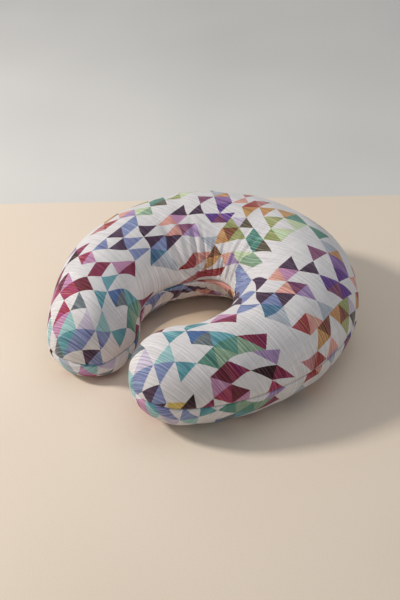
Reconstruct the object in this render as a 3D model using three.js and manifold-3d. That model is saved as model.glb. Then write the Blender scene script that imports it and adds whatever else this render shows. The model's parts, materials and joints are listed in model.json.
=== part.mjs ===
// Nursing pillow: a horseshoe cushion in a zipped, printed slipcover.
// Millimetres, +Z up. The pillow lies on Z = 0, its mouth faces -Y and X = 0 is its plane of symmetry.
// Outside to inside: slipcover, zip with its slider, plain liner, polyester fibre fill.

import * as THREE from 'three';
import { LoftGeometry } from 'three/addons/geometries/LoftGeometry.js';
import { mergeVertices } from 'three/addons/utils/BufferGeometryUtils.js';
import Module from 'manifold-3d';

const wasm = await Module();
wasm.setup();

// ---------------------------------------------------------------- driving dimensions

const BACK_RADIUS = 149;        // centreline radius of the arc round the back
const BACK_SWEEP = 55;          // degrees of that arc on each side of the apex
const ARM_RADIUS = 199;         // centreline radius of each arm, tangent to the back arc
const ARM_SWEEP = 79;           // degrees of each arm's arc
const TIP_LENGTH = 90;          // straight stretch in which each arm rounds off
const BACK_HALF_WIDTH = 103;
const ARM_HALF_WIDTH = 77;
const BACK_HEIGHT = 166;
const ARM_HEIGHT = 148;
const SEAM_HEIGHT = 73;         // the two panels meet in one flat plane at this height
const UNDERSIDE_SAG = 5;        // how far the round underside would reach below the floor it rests on
const SECTION_POWER = 1.98;     // superellipse power of the cross-section
const TIP_POWER = 2;            // superellipse power of the tip in side view

const CLOTH = 1.2;              // printed cotton with its backing
const SEAM_GAP = 0.2;           // half the gap between two panels along their seam
const LINER_INSET = 6.5;        // from the slipcover's outer face to the liner's
const LINER = 0.8;
const FILL_INSET = 11;
const THREAD = 0.5;
const COVER_THREAD_INSET = 3;
const LINER_THREAD_INSET = 9;

const ZIP_END = 40;             // degrees each side of the apex to the ends of the coils
const SLOT_HALF_HEIGHT = 4.5;   // the panels' folded edges stand this far from the seam plane
const TAPE_END = 45;            // degrees; the slot has closed again here
const TAPE_INSET = 2.8;
const TAPE = 0.6;
const TAPE_HALF_GAP = 0.8;      // half the gap between the two tapes, and between the two coils
const TAPE_ANGLES = [0, 4, 8];  // section angles; the far edge is about 13 mm from the seam
const COIL_WIDTH = 1.8;
const COIL_THICKNESS = 1.6;
const COIL_GAP = 0.3;           // from the tape's outer face to the coil
const STOP_LENGTH = 0.35;       // degrees, about 1.5 mm
const STOP_GAP = 0.1;           // degrees between a coil's end and its stop
const STOP_PROUD = 0.2;         // how far a stop stands past each face of the coil
const STITCH_ANGLES = [2.2, 2.5];   // section angles of the topstitching, about 8 mm from the seam
const STITCH_RISE = 0.3;        // from the cloth to a stitch that lies on it
const LINER_GAP_END = 15;       // degrees; the fibre went in by this gap, which is stitched shut by hand
const CLOSING_STITCH_LEVELS = [-0.3, 0.3];

const LABEL_INSET = 3;
const LABEL = 0.5;
const LABEL_ANGLES = [3, 10, 17, 24];   // section angles; the label hangs below the seam

const SLIDER_ANGLE = -38.5;     // closed: the slider stands just short of the stops at the -X end
const SLIDER_HALF_LENGTH = 5;
const SLIDER_HALF_WIDTH = 4.1;
const SLIDER_TAIL_HALF_WIDTH = 3.3;
const SLIDER_PLATE = 0.9;
const SLIDER_CLEARANCE = 0.35;  // from the coils to the front plate
const BACK_CLEARANCE = 0.8;     // from the tapes to the back plate
const POST_HALF_LENGTH = 1.5;
const POST_HALF_WIDTH = 0.4;
const LUG = { near: 2.6, far: 3.8, halfWidth: 1 };
const TAB_SPACE = 1.7;          // under the bridge, for the tab's crossbar
const SLIDER_CORNER = { along: 1.4, across: 1 };
const FUSE = 0.2;               // how far blocks of one casting run into each other
const TAB_LENGTH = 24;
const TAB_THICKNESS = 0.9;
const TAB_NECK_HALF_WIDTH = 2.4;
const TAB_HALF_WIDTH = 3.5;
const WINDOW = { start: 0.45, end: 5.2, halfWidth: 1.5 };
const TAB_HOLE_RADIUS = 1.6;
const TAB_FLARE = 3;            // length over which the tab widens past its window

const ARC_STEP = 5;             // degrees between sections round the back
const ARM_STEPS = 8;
const TIP_STEPS = 6;
const COVER_ANGLES = [0, 8, 24, 40, 55, 70, 90, 110, 125, 140, 156, 172, 180];
const INNER_ANGLES = [0, 24, 48, 70, 90, 110, 132, 156, 180];

// ---------------------------------------------------------------- materials

const material = (color, roughness, metalness = 0) =>
  new THREE.MeshStandardMaterial({ color, roughness, metalness });

const printedCotton = material(0xd8d2cf, 0.92);
const linerCloth = material(0xf2f1ec, 0.95);
const fibre = material(0xfafaf7, 1);
const tapeCloth = material(0xe9e6e0, 0.9);
const coilNylon = material(0xf1efe9, 0.45);
const sliderMetal = material(0xdedcd6, 0.38, 0.6);
const thread = material(0xf4f2ee, 0.7);
const labelSatin = material(0xf7f6f3, 0.55);

// ---------------------------------------------------------------- stations along the centreline

// A station holds where the centreline is, which way is outward there, how far the pillow has
// narrowed from back to arm (0 to 1), and how far the tip has rounded off (0 to 90 degrees).

const radians = THREE.MathUtils.degToRad;
const degrees = THREE.MathUtils.radToDeg;
const plan = (angle, radius) => new THREE.Vector2(Math.sin(angle) * radius, Math.cos(angle) * radius);
const backEnd = radians(BACK_SWEEP);
const armCentre = plan(backEnd, BACK_RADIUS - ARM_RADIUS);

function backStation(bearing) {
  const angle = radians(bearing);
  return { centre: plan(angle, BACK_RADIUS), outward: plan(angle, 1), narrowing: 0, rounding: 0 };
}

function armStation(step, rounding = 0) {
  const angle = backEnd + radians(ARM_SWEEP) * step / ARM_STEPS;
  return {
    centre: plan(angle, ARM_RADIUS).add(armCentre),
    outward: plan(angle, 1),
    narrowing: THREE.MathUtils.smoothstep(step / ARM_STEPS, 0, 1),
    rounding,
  };
}

// The same station on the -X side.
function mirrored(station) {
  const flip = (point) => new THREE.Vector2(-point.x, point.y);
  return { ...station, centre: flip(station.centre), outward: flip(station.outward) };
}

const counted = (count, make) => Array.from({ length: count }, (_, index) => make(index));

const anglesBetween = (from, to) => counted((to - from) / ARC_STEP + 1, (index) => from + index * ARC_STEP);
const backRun = (from, to) => anglesBetween(from, to).map(backStation);

const armRun = [
  ...counted(ARM_STEPS, (index) => armStation(index + 1)),
  ...counted(TIP_STEPS, (index) => armStation(ARM_STEPS, Math.PI / 2 * (index + 1) / TIP_STEPS)),
];

// From the -X tip round the back to the +X tip.
const wholeRun = [
  ...armRun.map(mirrored).reverse(),
  ...backRun(-BACK_SWEEP, BACK_SWEEP),
  ...armRun,
];

// ---------------------------------------------------------------- the pillow's skin

const curved = (value) => Math.abs(value) ** (2 / SECTION_POWER);
const mix = THREE.MathUtils.lerp;

const UPPER = 1;
const LOWER = -1;

// A point of the skin, `inset` inside the slipcover's outer face, on the upper or the lower side. The
// section angle is 0 at the outer seam, 90 at the crown or at the middle of the underside, and 180 at
// the inner seam. `gap` is half the distance between the two panels at the seam.
function skinPoint(station, side, sectionAngle, inset, gap) {
  const angle = radians(sectionAngle);
  const { rounding, narrowing } = station;
  const tipReach = (TIP_LENGTH - inset) * Math.sin(rounding);
  const tipHeight = Math.max(0, 1 - Math.sin(rounding) ** TIP_POWER) ** (1 / TIP_POWER);
  const halfWidth = (mix(BACK_HALF_WIDTH, ARM_HALF_WIDTH, narrowing) - inset) * Math.cos(rounding);
  const height = mix(BACK_HEIGHT, ARM_HEIGHT, narrowing) - SEAM_HEIGHT;
  const depth = SEAM_HEIGHT + UNDERSIDE_SAG;
  const rise = ((side === UPPER ? height : depth) - inset) * tipHeight;
  const fromSeam = gap + Math.max(rise - gap, 0) * curved(Math.sin(angle));
  const offset = halfWidth * Math.sign(Math.cos(angle)) * curved(Math.cos(angle));
  const across = station.outward.clone().multiplyScalar(offset);
  const along = new THREE.Vector2(-station.outward.y, station.outward.x);
  along.multiplyScalar(-Math.sign(station.outward.x || 1) * tipReach);
  const place = station.centre.clone().add(across).add(along);
  return new THREE.Vector3(place.x, place.y, Math.max(SEAM_HEIGHT + side * fromSeam, inset));
}

// One closed surface of merged vertices, without the empty triangles at a pole.
function closedSurface({ attributes, index }) {
  const bare = new THREE.BufferGeometry().setAttribute('position', attributes.position).setIndex(index);
  const merged = mergeVertices(bare, 1e-3);
  const corners = Array.from(merged.index.array);
  const triangles = counted(corners.length / 3, (index) => corners.slice(3 * index, 3 * index + 3));
  merged.setIndex(triangles.filter(([a, b, c]) => a !== b && b !== c && c !== a).flat());
  merged.computeVertexNormals();
  return merged;
}

// A layer of the skin through a row of section angles, between two insets. Its ends are flat caps, or
// close to a point at the tips. `gapAt` gives the gap at the seam for a station and a section angle.
function layer(stations, side, angles, [outer, inner], gapAt) {
  const curve = (station, inset) =>
    angles.map((angle) => skinPoint(station, side, angle, inset, gapAt(station, angle)));
  const sections = stations.map((station) => {
    const loop = [...curve(station, outer), ...curve(station, inner).reverse()];
    return side === UPPER ? loop : loop.reverse();
  });
  const isPoint = (station) => station.rounding > 0;
  return closedSurface(new LoftGeometry(sections, {
    capStart: !isPoint(stations.at(0)),
    capEnd: !isPoint(stations.at(-1)),
  }));
}

// Degrees between a station and the apex of the back arc.
const apexAngle = ({ outward }) => degrees(Math.abs(Math.atan2(outward.x, outward.y)));

// The slipcover's panels part round the zip; everywhere else they meet.
function coverGap(station, angle) {
  const besideZip = apexAngle(station) < ZIP_END + ARC_STEP / 2 && angle < 90;
  return besideZip ? SLOT_HALF_HEIGHT : SEAM_GAP;
}

const closedSeam = () => SEAM_GAP;
const tapeGap = () => TAPE_HALF_GAP;

const coverPanel = (side) => layer(wholeRun, side, COVER_ANGLES, [0, CLOTH], coverGap);
const linerPanel = (side) =>
  layer(wholeRun, side, INNER_ANGLES, [LINER_INSET, LINER_INSET + LINER], closedSeam);

// A square thread along a row of points.
function threadAlong(points) {
  const half = THREAD / 2;
  const section = new THREE.Shape([[-half, -half], [half, -half], [half, half], [-half, half]]
    .map(([x, y]) => new THREE.Vector2(x, y)));
  const extrudePath = new THREE.CatmullRomCurve3(points);
  return closedSurface(new THREE.ExtrudeGeometry(section, { steps: points.length * 2, extrudePath }));
}

// From one tape end round that arm, inside the horseshoe, and round the other arm to the other tape end.
function seamRoute(inset, openEnd) {
  const outer = wholeRun.filter((station) => station.rounding > 0 || apexAngle(station) > openEnd - 1);
  const half = outer.length / 2;
  const at = (angle) => (station) => skinPoint(station, UPPER, angle, inset, 0);
  return [
    ...outer.slice(half).map(at(0)),
    ...wholeRun.slice(1, -1).reverse().map(at(180)),
    ...outer.slice(0, half).map(at(0)),
  ];
}

// ---------------------------------------------------------------- pieces that follow the zip's arc

const outerRadius = BACK_RADIUS + BACK_HALF_WIDTH;
const tapeRadius = outerRadius - TAPE_INSET;          // outer face of the tapes
const chainRadius = tapeRadius + COIL_GAP;            // inner face of the coils
const coilRadius = chainRadius + COIL_THICKNESS;

// A bar with a rectangular section that follows the back arc at a given radius and level.
function arcBar(angles, [innerRadius, outerFace], [low, high]) {
  const sections = angles.map((bearing) => {
    const near = plan(radians(bearing), innerRadius);
    const far = plan(radians(bearing), outerFace);
    return [[far, low], [far, high], [near, high], [near, low]]
      .map(([point, level]) => new THREE.Vector3(point.x, point.y, SEAM_HEIGHT + level));
  });
  return closedSurface(new LoftGeometry(sections, { capStart: true, capEnd: true }));
}

const zipAngles = anglesBetween(-ZIP_END, ZIP_END);
const coilReach = [TAPE_HALF_GAP, TAPE_HALF_GAP + COIL_WIDTH];
const downward = ([near, far]) => [-far, -near];
const coil = (levels) => arcBar(zipAngles, [chainRadius, coilRadius], levels);

const stopRadii = [chainRadius - STOP_PROUD, coilRadius + STOP_PROUD];
const stop = (start, levels) => arcBar([start, start + STOP_LENGTH], stopRadii, levels);

const topStopStart = -ZIP_END - STOP_GAP - STOP_LENGTH;
const bottomStopStart = ZIP_END + STOP_GAP;

// ---------------------------------------------------------------- slider and pull tab

// Both are drawn at the apex of the back arc: +X along the zip, +Y outward, Z from the seam plane.

const solid = (geometry) => {
  const surface = closedSurface(geometry);
  return new wasm.Manifold(new wasm.Mesh({
    numProp: 3,
    vertProperties: surface.attributes.position.array,
    triVerts: new Uint32Array(surface.index.array),
  }));
};

function surfaceOf(manifold) {
  const { vertProperties, triVerts } = manifold.getMesh();
  const geometry = new THREE.BufferGeometry();
  geometry.setAttribute('position', new THREE.BufferAttribute(vertProperties, 3));
  geometry.setIndex(new THREE.BufferAttribute(triVerts, 1));
  geometry.computeVertexNormals();
  return geometry;
}

const block = ([x0, x1], [y0, y1], [z0, z1]) => {
  const box = new THREE.BoxGeometry(x1 - x0, y1 - y0, z1 - z0);
  return solid(box.translate((x0 + x1) / 2, (y0 + y1) / 2, (z0 + z1) / 2));
};

// A plate of a given outline in X and Z, between two radii.
function plate(outline, [inner, outer], holes = []) {
  const shape = new THREE.Shape(outline);
  shape.holes.push(...holes);
  const options = { depth: outer - inner, bevelEnabled: false, curveSegments: 4 };
  const extruded = new THREE.ExtrudeGeometry(shape, options);
  extruded.rotateX(Math.PI / 2);
  return solid(extruded.translate(0, outer, 0));
}

const frontFace = coilRadius + SLIDER_CLEARANCE;
const frontTop = frontFace + SLIDER_PLATE;
const backFace = tapeRadius - TAPE - BACK_CLEARANCE;
const bridgeFace = frontTop + TAB_SPACE;
const pivotRadius = frontTop + TAB_SPACE / 2;

// Half the outline of a plate, from its wide, chamfered nose towards the top stops to its narrow tail.
const sliderEdge = [
  [-SLIDER_HALF_LENGTH, SLIDER_HALF_WIDTH - SLIDER_CORNER.across],
  [-SLIDER_HALF_LENGTH + SLIDER_CORNER.along, SLIDER_HALF_WIDTH],
  [0, SLIDER_HALF_WIDTH],
  [SLIDER_HALF_LENGTH, SLIDER_TAIL_HALF_WIDTH],
];
const sliderOutline = [
  ...sliderEdge.map(([x, z]) => new THREE.Vector2(x, -z)),
  ...sliderEdge.map(([x, z]) => new THREE.Vector2(x, z)).reverse(),
];

function sliderBody() {
  const post = [-POST_HALF_LENGTH, POST_HALF_LENGTH];
  const lugRadii = [frontTop - FUSE, bridgeFace + SLIDER_PLATE];
  const lugWidth = [-LUG.halfWidth, LUG.halfWidth];
  return plate(sliderOutline, [frontFace, frontTop])
    .add(plate(sliderOutline, [backFace - SLIDER_PLATE, backFace]))
    .add(block(post, [backFace - FUSE, frontFace + FUSE], [-POST_HALF_WIDTH, POST_HALF_WIDTH]))
    .add(block([-LUG.far, -LUG.near], lugRadii, lugWidth))
    .add(block([LUG.near, LUG.far], lugRadii, lugWidth))
    .add(block([-LUG.far, LUG.far], [bridgeFace, bridgeFace + SLIDER_PLATE], lugWidth));
}

function pullTab() {
  const end = TAB_LENGTH - TAB_HALF_WIDTH;
  const half = TAB_THICKNESS / 2;
  const shape = new THREE.Shape();
  shape.moveTo(-half, -TAB_NECK_HALF_WIDTH);
  shape.lineTo(WINDOW.end, -TAB_NECK_HALF_WIDTH);
  shape.lineTo(WINDOW.end + TAB_FLARE, -TAB_HALF_WIDTH);
  shape.lineTo(end, -TAB_HALF_WIDTH);
  shape.absarc(end, 0, TAB_HALF_WIDTH, -Math.PI / 2, Math.PI / 2, false);
  shape.lineTo(WINDOW.end + TAB_FLARE, TAB_HALF_WIDTH);
  shape.lineTo(WINDOW.end, TAB_NECK_HALF_WIDTH);
  shape.lineTo(-half, TAB_NECK_HALF_WIDTH);
  const window = new THREE.Path([
    [WINDOW.start, -WINDOW.halfWidth], [WINDOW.start, WINDOW.halfWidth],
    [WINDOW.end, WINDOW.halfWidth], [WINDOW.end, -WINDOW.halfWidth],
  ].map(([x, z]) => new THREE.Vector2(x, z)));
  const hole = new THREE.Path().absarc(end, 0, TAB_HOLE_RADIUS, 0, 2 * Math.PI, true);
  return plate(shape.getPoints(6), [pivotRadius - half, pivotRadius + half], [window, hole]);
}

// ---------------------------------------------------------------- the assembly

function piece(name, geometry, finish) {
  const mesh = new THREE.Mesh(geometry, finish);
  mesh.name = name;
  return mesh;
}

const group = (...members) => new THREE.Group().add(...members);

const tapeRun = backRun(-TAPE_END, TAPE_END);
const tape = (side) =>
  layer(tapeRun, side, TAPE_ANGLES, [TAPE_INSET, TAPE_INSET + TAPE], tapeGap);
const topstitch = (side) =>
  layer(tapeRun, side, STITCH_ANGLES, [-STITCH_RISE - THREAD, -STITCH_RISE], coverGap);
const label = (stations) =>
  layer(stations, LOWER, LABEL_ANGLES, [LABEL_INSET, LABEL_INSET + LABEL], closedSeam);

const slipcover = group(
  piece('cover_top_panel', coverPanel(UPPER), printedCotton),
  piece('cover_bottom_panel', coverPanel(LOWER), printedCotton),
  piece('cover_seam_thread', threadAlong(seamRoute(COVER_THREAD_INSET, TAPE_END)), thread),
  piece('cover_care_label', label(backRun(50, 55)), labelSatin),
);

const zip = group(
  piece('zipper_tape_upper', tape(UPPER), tapeCloth),
  piece('zipper_tape_lower', tape(LOWER), tapeCloth),
  piece('zipper_coil_upper', coil(coilReach), coilNylon),
  piece('zipper_coil_lower', coil(downward(coilReach)), coilNylon),
  piece('zipper_top_stop_upper', stop(topStopStart, coilReach), sliderMetal),
  piece('zipper_top_stop_lower', stop(topStopStart, downward(coilReach)), sliderMetal),
  piece('zipper_bottom_stop', stop(bottomStopStart, [-coilReach[1], coilReach[1]]), sliderMetal),
  piece('zipper_stitch_upper', topstitch(UPPER), thread),
  piece('zipper_stitch_lower', topstitch(LOWER), thread),
);

const sliderPlace = group(
  piece('zipper_slider', surfaceOf(sliderBody()), sliderMetal),
  piece('zipper_pull_tab', surfaceOf(pullTab()), sliderMetal),
);
sliderPlace.position.z = SEAM_HEIGHT;
sliderPlace.rotation.z = -radians(SLIDER_ANGLE);

const closingAngles = anglesBetween(-LINER_GAP_END, LINER_GAP_END);
const closingRadius = outerRadius - LINER_INSET + STITCH_RISE;
const closingStitch = arcBar(closingAngles, [closingRadius, closingRadius + THREAD], CLOSING_STITCH_LEVELS);

const innerPillow = group(
  piece('liner_top_panel', linerPanel(UPPER), linerCloth),
  piece('liner_bottom_panel', linerPanel(LOWER), linerCloth),
  piece('liner_seam_thread', threadAlong(seamRoute(LINER_THREAD_INSET, LINER_GAP_END)), thread),
  piece('liner_closing_stitch', closingStitch, thread),
  piece('liner_law_label', label(backRun(-55, -50)), labelSatin),
  piece('fibre_fill', fillSolid(), fibre),
);

// The fill is one solid: its section is a whole ring.
function fillSolid() {
  const curve = (station, side, angles) =>
    angles.map((angle) => skinPoint(station, side, angle, FILL_INSET, 0));
  const sections = wholeRun.map((station) => [
    ...curve(station, UPPER, INNER_ANGLES.slice(0, -1)),
    ...curve(station, LOWER, INNER_ANGLES.slice(1).reverse()),
  ]);
  return closedSurface(new LoftGeometry(sections));
}

// The origin lies on the floor below the middle of the pillow's plan.
const pillow = group(slipcover, zip, sliderPlace, innerPillow);
pillow.position.y = -new THREE.Box3().setFromObject(pillow).getCenter(new THREE.Vector3()).y;

export default pillow;
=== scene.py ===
import json
import math

import bmesh
import bpy
import numpy as np
from mathutils import Matrix, Vector
from mathutils.bvhtree import BVHTree


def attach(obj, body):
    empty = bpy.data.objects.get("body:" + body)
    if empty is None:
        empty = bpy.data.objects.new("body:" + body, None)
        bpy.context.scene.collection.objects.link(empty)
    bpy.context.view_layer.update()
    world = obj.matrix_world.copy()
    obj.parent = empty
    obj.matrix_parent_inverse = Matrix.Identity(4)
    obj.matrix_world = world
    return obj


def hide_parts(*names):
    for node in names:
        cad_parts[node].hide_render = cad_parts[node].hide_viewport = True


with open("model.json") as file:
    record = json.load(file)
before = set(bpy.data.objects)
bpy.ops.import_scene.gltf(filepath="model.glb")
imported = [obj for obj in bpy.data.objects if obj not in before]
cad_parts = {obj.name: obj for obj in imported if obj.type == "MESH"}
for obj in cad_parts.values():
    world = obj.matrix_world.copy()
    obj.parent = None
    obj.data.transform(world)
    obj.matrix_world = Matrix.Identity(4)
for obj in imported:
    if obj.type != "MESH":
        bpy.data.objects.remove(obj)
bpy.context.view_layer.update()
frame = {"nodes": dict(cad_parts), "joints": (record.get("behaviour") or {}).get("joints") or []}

# ------------ the pillow's shape, in metres
JOINTS = {joint["name"]: joint for joint in frame["joints"]}
ARC_CENTRE = Vector(JOINTS["zip_travel"]["pos_m"])      # the back arc's centre, at the seam's height
SEAM_Z = ARC_CENTRE.z
UPPER, LOWER = 1, -1
BACK_RADIUS = 0.149             # of the centreline, round the back and then along an arm
ARM_RADIUS = 0.199
BACK_SWEEP = math.radians(55)   # from the middle of the back to an arm, and from there to its tip
ARM_SWEEP = math.radians(79)
ARM_SHIFT = BACK_RADIUS - ARM_RADIUS
TIP_LENGTH = 0.090
TIP_RISE = 0.075                # an arm's crown above the seam
BACK_HALF_WIDTH = 0.103
ARM_HALF_WIDTH = 0.077
BACK_HEIGHT = 0.166
ARM_HEIGHT = 0.148
UNDERSIDE_SAG = 0.005           # how much of the round underside the floor flattens
SECTION_POWER = 1.98            # of the superellipse that a section is
CLOTH = 0.0012
LINER_INSET = 0.0065
LINER = 0.0008
FILL_INSET = 0.011
SEAM_GAP = 0.0002               # half the gap between the panels, at the seam and at the zip's slot
SLOT_HALF_HEIGHT = 0.0045
ZIP_END = math.radians(40)
TAPE_END = math.radians(45)
OUTER_RADIUS = BACK_RADIUS + BACK_HALF_WIDTH

LEFT_TURN = -(BACK_SWEEP + ARM_SWEEP)                   # where the -X arm's tip begins
LEFT_BASE = (ARM_RADIUS * math.sin(LEFT_TURN) - ARM_SHIFT * math.sin(BACK_SWEEP),
             ARM_RADIUS * math.cos(LEFT_TURN) + ARM_SHIFT * math.cos(BACK_SWEEP) + ARC_CENTRE.y)
LEFT_AHEAD = (-math.cos(LEFT_TURN), math.sin(LEFT_TURN))    # the way that tip points
TIP_DROP = (0.034, 0.003)       # how far the seam settles at the -X and the +X tip
TIP_TUCK = 0.24                 # the share by which the -X tip's widest line is drawn back
TIP_APART = (0.0, 0.03)         # sideways and to the front, where settling starts and is complete
TIP_FORWARD = (0.07, 0.20)
UNDERSIDE_FADE = 0.8            # power with which the settling fades towards the floor


def smoothstep(value, low=0.0, high=1.0):
    share = np.clip((value - low) / (high - low), 0, 1)
    return share * share * (3 - 2 * share)


def curved(value):
    return np.abs(value) ** (2 / SECTION_POWER)


class Spine:
    """Stations along the centreline, from the -X tip round the back to the +X tip."""

    TIP_CROWDING = 1.35         # more stations over a tip, for its length

    def __init__(self, spacing):
        back = np.linspace(0, BACK_SWEEP, max(2, round(BACK_SWEEP * BACK_RADIUS / spacing) + 1))
        arm = np.linspace(0, ARM_SWEEP, round(ARM_SWEEP * ARM_RADIUS / spacing) + 1)[1:]
        tip = np.linspace(0, math.pi / 2, round(self.TIP_CROWDING * TIP_LENGTH / spacing) + 1)[1:]
        turn = np.concatenate([back, BACK_SWEEP + arm, np.full(len(tip), BACK_SWEEP + ARM_SWEEP)])
        on_arm = np.maximum(turn - BACK_SWEEP, 0)
        radius = np.where(on_arm > 0, ARM_RADIUS, BACK_RADIUS)
        shift = np.where(on_arm > 0, ARM_SHIFT, 0.0)
        rounding = np.concatenate([np.zeros(len(back) + len(arm)), tip])
        x = radius * np.sin(turn) + shift * math.sin(BACK_SWEEP)
        y = radius * np.cos(turn) + shift * math.cos(BACK_SWEEP)
        length = np.minimum(turn, BACK_SWEEP) * BACK_RADIUS + on_arm * ARM_RADIUS
        self.turn = self.both(turn, -1)
        self.x = self.both(x, -1)
        self.y = self.both(y)
        self.rounding = self.both(rounding)
        self.length = self.both(length, -1)
        self.narrowing = smoothstep(np.maximum(np.abs(self.turn) - BACK_SWEEP, 0) / ARM_SWEEP)
        self.side = np.where(self.turn < 0, -1.0, 1.0)

    @staticmethod
    def both(values, sign=1):
        return np.concatenate([sign * values[:0:-1], values])

    def mix(self, back, arm):
        return back + (arm - back) * self.narrowing


class BackRun:
    """Stations on the back's arc alone, between two bearings in degrees."""

    def __init__(self, start, end, count):
        self.turn = np.radians(np.linspace(start, end, count))
        self.x = BACK_RADIUS * np.sin(self.turn)
        self.y = BACK_RADIUS * np.cos(self.turn)
        self.rounding = self.narrowing = np.zeros(count)
        self.side = np.where(self.turn < 0, -1.0, 1.0)

    mix = Spine.mix


def slot_gap(spine, section):
    """Half the gap between the two panels: the zip's slot round the back, and the seam elsewhere."""
    opening = 1 - smoothstep(np.abs(spine.turn)[:, None], ZIP_END, TAPE_END)
    outward = (np.cos(section) > 0)[None, :]
    return SEAM_GAP + (SLOT_HALF_HEIGHT - SEAM_GAP) * opening * outward


def skin(spine, side, section, inset=0.0, gap=None):
    """Points of one panel: stations x section angles, from 0 at the outer seam to pi at the inner."""
    gap = slot_gap(spine, section) if gap is None else gap
    sine, cosine = np.sin(spine.rounding), np.cos(spine.rounding)
    reach = (TIP_LENGTH - inset) * sine
    half_width = (spine.mix(BACK_HALF_WIDTH, ARM_HALF_WIDTH) - inset) * cosine
    height = spine.mix(BACK_HEIGHT, ARM_HEIGHT) - SEAM_Z
    depth = np.full_like(height, SEAM_Z + UNDERSIDE_SAG)
    rise = ((height if side == UPPER else depth) - inset) * cosine
    across = half_width[:, None] * (np.sign(np.cos(section)) * curved(np.cos(section)))[None, :]
    up = gap + np.maximum(rise[:, None] - gap, 0) * curved(np.sin(section))[None, :]
    out_x, out_y = np.sin(spine.turn), np.cos(spine.turn)
    x = spine.x[:, None] + out_x[:, None] * across + (spine.side * out_y * reach)[:, None]
    y = spine.y[:, None] + out_y[:, None] * across - (spine.side * out_x * reach)[:, None]
    z = np.maximum(SEAM_Z + side * up, inset)
    return np.stack([x + ARC_CENTRE.x, y + ARC_CENTRE.y, z], axis=-1)


def closed_ring(spine, section, inset):
    """Both panels without a gap between them: stations x points all the way round a section."""
    shut = np.zeros((len(spine.turn), len(section)))
    top = skin(spine, UPPER, section, inset, shut)
    bottom = skin(spine, LOWER, section, inset, shut)
    return np.concatenate([top, bottom[:, -2:0:-1]], axis=1)


def settled(points):
    """The arms' tips have settled: their widest line, with the seam, lies lower than the rest, and at
    the -X tip it is drawn back too."""
    x, y, z = np.moveaxis(points, -1, 0)
    at_tip = smoothstep(np.abs(x), *TIP_APART) * smoothstep(-y, *TIP_FORWARD)
    drop = np.where(x < 0, *TIP_DROP) * at_tip
    above, below = np.maximum(z - SEAM_Z, 0), np.maximum(SEAM_Z - z, 0)
    level = (1 - np.minimum(above / TIP_RISE, 1)) * (1 - np.minimum(below / SEAM_Z, 1)) ** UNDERSIDE_FADE
    ahead = (x - LEFT_BASE[0]) * LEFT_AHEAD[0] + (y - LEFT_BASE[1]) * LEFT_AHEAD[1]
    tuck = TIP_TUCK * (np.maximum(ahead, 0) * (x < 0) * (y < 0)) * level
    return np.stack([x - tuck * LEFT_AHEAD[0], y - tuck * LEFT_AHEAD[1], z - drop * level], axis=-1)


def grid_normals(points, side):
    """Unit normals of a grid of points that face up for the upper side and down for the lower."""
    normal = np.cross(np.gradient(points, axis=0), np.gradient(points, axis=1))
    normal = normal / np.maximum(np.linalg.norm(normal, axis=-1, keepdims=True), 1e-9)
    facing = normal[len(points) // 2, points.shape[1] // 2, 2] * side
    return normal * np.sign(facing)


def millimetres(points):
    return (points[..., axis] * 1000 for axis in range(3))


# ------------ camera, light and floor
CAMERA_AZIMUTH = math.radians(41.06)
CAMERA_ELEVATION = math.radians(37.39)
CAMERA_DISTANCE = 1.801
CAMERA_ROLL = math.radians(1.31)
CAMERA_TARGET = Vector((0.0, ARC_CENTRE.y, 0.075))
CAMERA_LENS = 64.7
CAMERA_SENSOR = 36
CAMERA_SHIFT = (-0.0111, -0.0070)
SKY_COLOUR = (0.93, 0.96, 1.0, 1)
SKY_STRENGTH = 0.42
LIT_PLACE = (0, 0, 0.05)
AREA_LIGHTS = {                 # place, size, power and colour
    "window": ((-1.58, -1.14, 1.55), 0.38, 44, (1.0, 0.955, 0.905)),
    "sky": ((0.4, 0.6, 2.2), 1.6, 6, (0.97, 0.98, 1.0)),
}
BEAM_PLACE = (0.0, -0.35, 2.0)
BEAM_TARGET = (0.0, -0.035, 0.0)
BEAM_POWER = 95
BEAM_COLOUR = (1.0, 0.86, 0.68)
BEAM_ANGLE = math.radians(6)
BEAM_SOURCE = 0.05
STAGE_HALF_SIZE = 4.0
STAGE_EDGE = 0.418              # the floor meets the paler backdrop this far behind the pillow's centre
STAGE_BLUR = 0.003


def view_axis():
    flat = math.cos(CAMERA_ELEVATION)
    towards = (math.sin(CAMERA_AZIMUTH) * flat, -math.cos(CAMERA_AZIMUTH) * flat)
    return Vector((*towards, math.sin(CAMERA_ELEVATION)))


def make_camera():
    camera = bpy.data.objects.new("camera", bpy.data.cameras.new("camera"))
    camera.location = CAMERA_TARGET + view_axis() * CAMERA_DISTANCE
    facing = (-view_axis()).to_track_quat("-Z", "Y").to_matrix()
    camera.rotation_euler = (facing @ Matrix.Rotation(-CAMERA_ROLL, 3, "Z")).to_euler()
    camera.data.lens = CAMERA_LENS
    camera.data.sensor_width = CAMERA_SENSOR
    camera.data.shift_x, camera.data.shift_y = CAMERA_SHIFT
    bpy.context.scene.collection.objects.link(camera)
    bpy.context.scene.camera = camera


def lamp_of(kind, name, place, target, power, colour):
    lamp = bpy.data.objects.new(name, bpy.data.lights.new(name, kind))
    lamp.data.energy = power
    lamp.data.color = colour
    lamp.location = place
    lamp.rotation_euler = (Vector(place) - Vector(target)).to_track_quat("Z", "Y").to_euler()
    bpy.context.scene.collection.objects.link(lamp)
    return lamp


def area_light(name, place, size, power, colour):
    lamp = lamp_of("AREA", name, place, LIT_PLACE, power, colour)
    lamp.data.shape = "DISK"
    lamp.data.size = size


def hollow_light():
    """A soft, warm beam from above that lights the floor of the hollow."""
    lamp = lamp_of("SPOT", "beam", BEAM_PLACE, BEAM_TARGET, BEAM_POWER, BEAM_COLOUR)
    lamp.data.spot_size = BEAM_ANGLE
    lamp.data.spot_blend = 1.0
    lamp.data.shadow_soft_size = BEAM_SOURCE


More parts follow.
